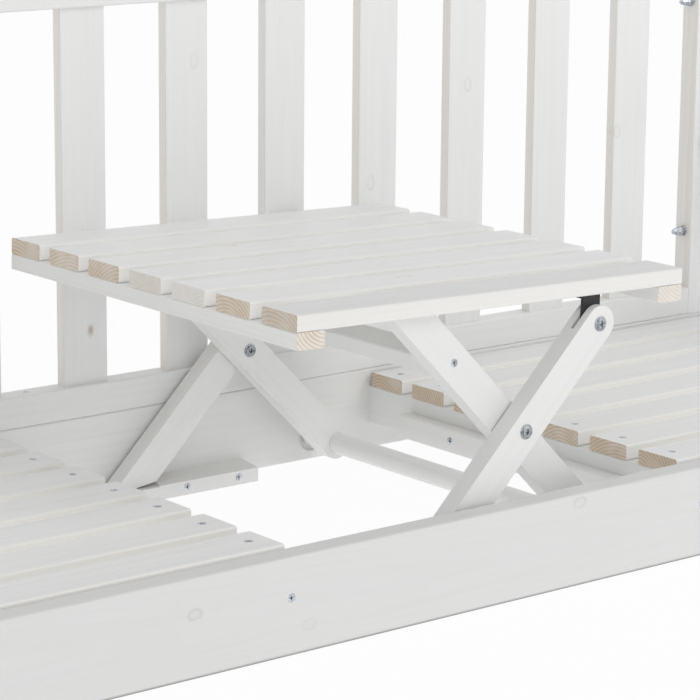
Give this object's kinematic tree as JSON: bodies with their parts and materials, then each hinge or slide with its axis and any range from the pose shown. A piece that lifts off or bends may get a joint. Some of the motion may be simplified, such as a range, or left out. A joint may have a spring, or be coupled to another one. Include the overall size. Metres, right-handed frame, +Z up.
{
  "type": "porch swing seat",
  "caption": "Slatted wooden porch swing seat for two, with a fold-up slatted table between the seats, arm rests, and eyes for hanging chains.",
  "frame": {"origin": "the middle of the seat's bounding box, at its underside", "axes": "+X along the seat to the sitter's left hand, which is the viewer's right from the front; +Y to the back; +Z up"},
  "size_m": [1.55, 0.52, 0.53],
  "materials": {
    "front_apron": "white glaze on softwood, grain showing",
    "rear_apron": "white glaze on softwood, grain showing",
    "end_board_left": "white glaze on softwood, grain showing",
    "end_board_right": "white glaze on softwood, grain showing",
    "gap_beam_left": "white glaze on softwood, grain showing",
    "gap_beam_right": "white glaze on softwood, grain showing",
    "ledge_left": "white glaze on softwood, grain showing",
    "ledge_right": "white glaze on softwood, grain showing",
    "foot_rest_front": "white glaze on softwood, grain showing",
    "foot_rest_rear": "white glaze on softwood, grain showing",
    "seat_slat_left_1": "white glaze on softwood, grain showing",
    "seat_slat_left_2": "white glaze on softwood, grain showing",
    "seat_slat_left_3": "white glaze on softwood, grain showing",
    "seat_slat_left_4": "white glaze on softwood, grain showing",
    "seat_slat_left_5": "white glaze on softwood, grain showing",
    "seat_slat_left_6": "white glaze on softwood, grain showing",
    "seat_slat_left_7": "white glaze on softwood, grain showing",
    "seat_slat_right_1": "white glaze on softwood, grain showing",
    "seat_slat_right_2": "white glaze on softwood, grain showing",
    "seat_slat_right_3": "white glaze on softwood, grain showing",
    "seat_slat_right_4": "white glaze on softwood, grain showing",
    "seat_slat_right_5": "white glaze on softwood, grain showing",
    "seat_slat_right_6": "white glaze on softwood, grain showing",
    "seat_slat_right_7": "white glaze on softwood, grain showing",
    "back_lower_rail": "white glaze on softwood, grain showing",
    "back_upper_rail": "white glaze on softwood, grain showing",
    "back_slats": "white glaze on softwood, grain showing",
    "back_post_left": "white glaze on softwood, grain showing",
    "back_post_right": "white glaze on softwood, grain showing",
    "arm_post_left": "white glaze on softwood, grain showing",
    "arm_post_right": "white glaze on softwood, grain showing",
    "arm_rest_left": "white glaze on softwood, grain showing",
    "arm_rest_right": "white glaze on softwood, grain showing",
    "seat_screws": "zinc plated",
    "frame_screws": "zinc plated",
    "eye_bolts": "zinc plated",
    "cap_nuts": "zinc plated",
    "inner_leg_front": "white glaze on softwood, grain showing",
    "inner_leg_rear": "white glaze on softwood, grain showing",
    "inner_cross_rail": "white glaze on softwood, grain showing",
    "pivot_dowel": "white glaze on softwood, grain showing",
    "crossing_bolts": "zinc plated",
    "inner_frame_screws": "zinc plated",
    "outer_leg_front": "white glaze on softwood, grain showing",
    "outer_leg_rear": "white glaze on softwood, grain showing",
    "hinge_pins": "zinc plated",
    "table_slat_1": "white glaze on softwood, grain showing",
    "table_slat_2": "white glaze on softwood, grain showing",
    "table_slat_3": "white glaze on softwood, grain showing",
    "table_slat_4": "white glaze on softwood, grain showing",
    "table_slat_5": "white glaze on softwood, grain showing",
    "table_slat_6": "white glaze on softwood, grain showing",
    "table_slat_7": "white glaze on softwood, grain showing",
    "table_batten_left": "white glaze on softwood, grain showing",
    "table_batten_right": "white glaze on softwood, grain showing",
    "hinge_plate_front": "black, satin",
    "hinge_plate_rear": "black, satin",
    "table_screws": "zinc plated"
  },
  "bodies": {
    "frame": {"front_apron": "front_apron", "rear_apron": "rear_apron", "end_board_left": "end_board_left", "end_board_right": "end_board_right", "gap_beam_left": "gap_beam_left", "gap_beam_right": "gap_beam_right", "ledge_left": "ledge_left", "ledge_right": "ledge_right", "foot_rest_front": "foot_rest_front", "foot_rest_rear": "foot_rest_rear", "seat_slat_left_1": "seat_slat_left_1", "seat_slat_left_2": "seat_slat_left_2", "seat_slat_left_3": "seat_slat_left_3", "seat_slat_left_4": "seat_slat_left_4", "seat_slat_left_5": "seat_slat_left_5", "seat_slat_left_6": "seat_slat_left_6", "seat_slat_left_7": "seat_slat_left_7", "seat_slat_right_1": "seat_slat_right_1", "seat_slat_right_2": "seat_slat_right_2", "seat_slat_right_3": "seat_slat_right_3", "seat_slat_right_4": "seat_slat_right_4", "seat_slat_right_5": "seat_slat_right_5", "seat_slat_right_6": "seat_slat_right_6", "seat_slat_right_7": "seat_slat_right_7", "back_lower_rail": "back_lower_rail", "back_upper_rail": "back_upper_rail", "back_slats": "back_slats", "back_post_left": "back_post_left", "back_post_right": "back_post_right", "arm_post_left": "arm_post_left", "arm_post_right": "arm_post_right", "arm_rest_left": "arm_rest_left", "arm_rest_right": "arm_rest_right", "seat_screws": "seat_screws", "frame_screws": "frame_screws", "eye_bolts": "eye_bolts", "cap_nuts": "cap_nuts"},
    "inner_frame": {"inner_leg_front": "inner_leg_front", "inner_leg_rear": "inner_leg_rear", "inner_cross_rail": "inner_cross_rail", "pivot_dowel": "pivot_dowel", "crossing_bolts": "crossing_bolts", "inner_frame_screws": "inner_frame_screws"},
    "outer_frame": {"outer_leg_front": "outer_leg_front", "outer_leg_rear": "outer_leg_rear", "hinge_pins": "hinge_pins"},
    "table": {"table_slat_1": "table_slat_1", "table_slat_2": "table_slat_2", "table_slat_3": "table_slat_3", "table_slat_4": "table_slat_4", "table_slat_5": "table_slat_5", "table_slat_6": "table_slat_6", "table_slat_7": "table_slat_7", "table_batten_left": "table_batten_left", "table_batten_right": "table_batten_right", "hinge_plate_front": "hinge_plate_front", "hinge_plate_rear": "hinge_plate_rear", "table_screws": "table_screws"}
  },
  "joints": [
    {"name": "table_fold", "type": "hinge", "parent": "frame", "child": "inner_frame", "pos_m": [0.1518, 0.0105, 0.0315], "axis": [0, -1, 0], "range_deg": [0, 41.66]},
    {"name": "leg_crossing", "type": "hinge", "parent": "inner_frame", "child": "outer_frame", "pos_m": [0.04078, 0.0105, 0.14252], "axis": [0, -1, 0], "range_deg": [-83.6, 0]},
    {"name": "table_hinge", "type": "hinge", "parent": "outer_frame", "child": "table", "pos_m": [0.1267, 0.0105, 0.22843], "axis": [0, -1, 0], "range_deg": [0, 43.3]}
  ],
  "couplings": [
    {"joint": "leg_crossing", "follows": "table_fold", "ratio": -2},
    {"joint": "table_hinge", "follows": "table_fold", "ratio": 1.0336}
  ]
}
